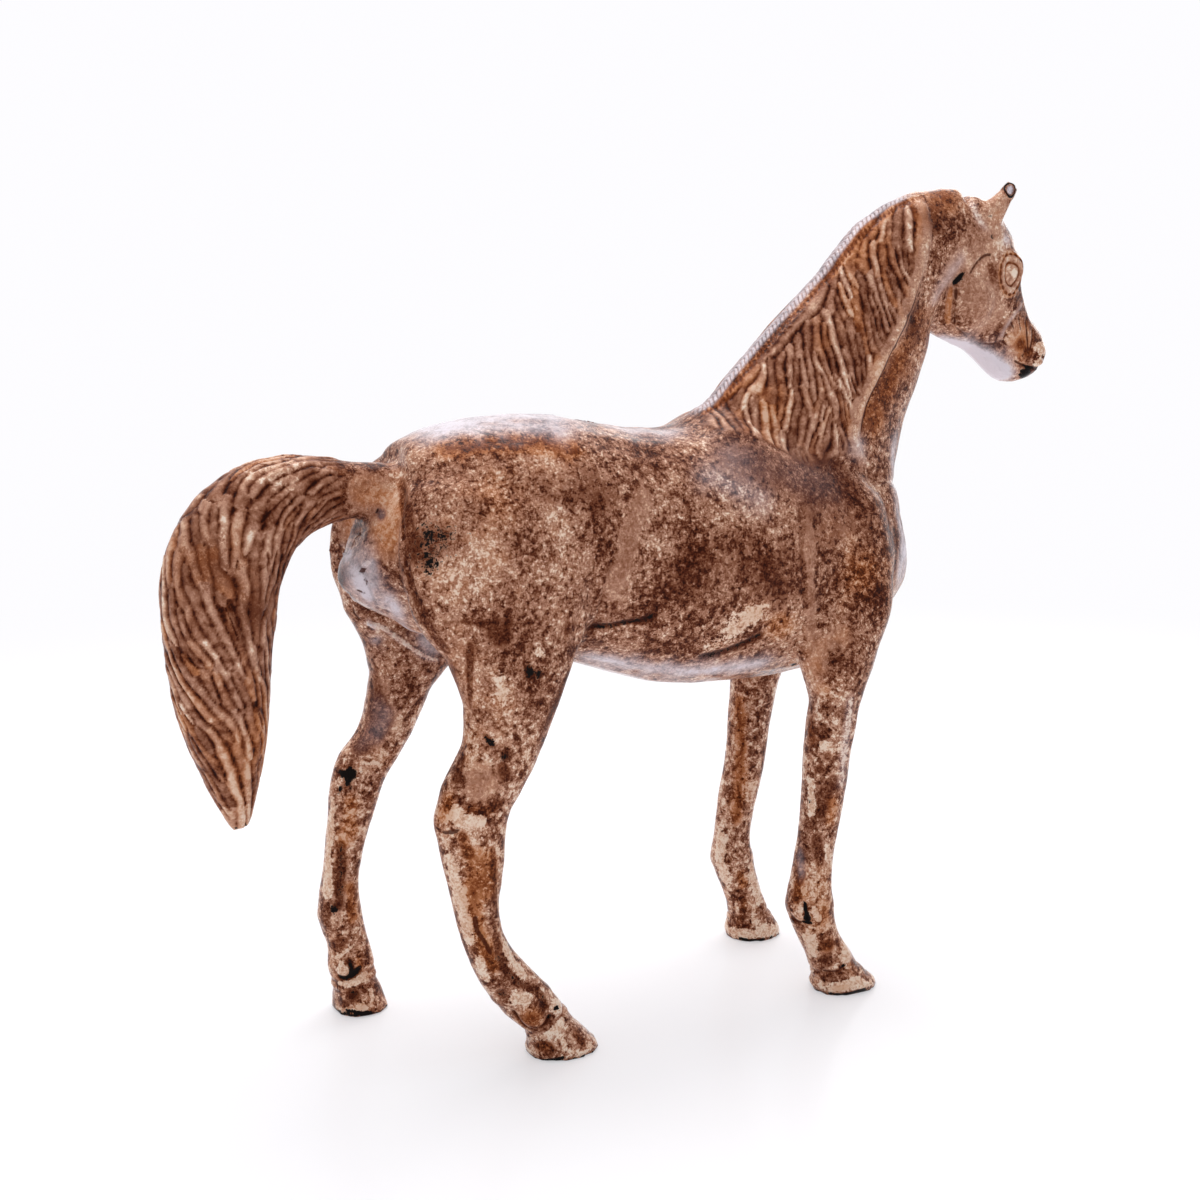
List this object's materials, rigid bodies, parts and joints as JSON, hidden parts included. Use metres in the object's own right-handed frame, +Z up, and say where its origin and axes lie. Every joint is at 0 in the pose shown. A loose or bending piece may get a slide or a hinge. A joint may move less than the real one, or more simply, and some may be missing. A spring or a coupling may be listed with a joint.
{
  "type": "horse figurine",
  "caption": "Free-standing ornamental horse in cast aluminium with a mottled brown patina, ridged mane, arched tail and walking stance.",
  "frame": {"origin": "under the middle of the figure, on the surface that it stands on", "axes": "+X the way the horse faces, +Y its left side, +Z up"},
  "size_m": [0.352, 0.0868, 0.2983],
  "materials": {
    "patina": "mottled tan and umber paint, rubbed back on the high spots, under gloss lacquer",
    "pin_metal": "drawn rod, dressed flush at its ends"
  },
  "bodies": {
    "root": {"trunk_right_shell": "patina", "trunk_left_shell": "patina", "neck_and_head": "patina", "foreleg_right": "patina", "foreleg_left": "patina", "hindleg_right": "patina", "hindleg_left": "patina", "tail": "patina", "tail_pin": "pin_metal", "neck_pin_right": "pin_metal", "neck_pin_left": "pin_metal", "foreleg_pin_right": "pin_metal", "foreleg_pin_left": "pin_metal", "hindleg_pin_right": "pin_metal", "hindleg_pin_left": "pin_metal", "seam_dowel_croup": "pin_metal", "seam_dowel_withers": "pin_metal", "seam_dowel_flank": "pin_metal", "seam_dowel_girth": "pin_metal", "seam_dowel_chest": "pin_metal"}
  },
  "joints": []
}
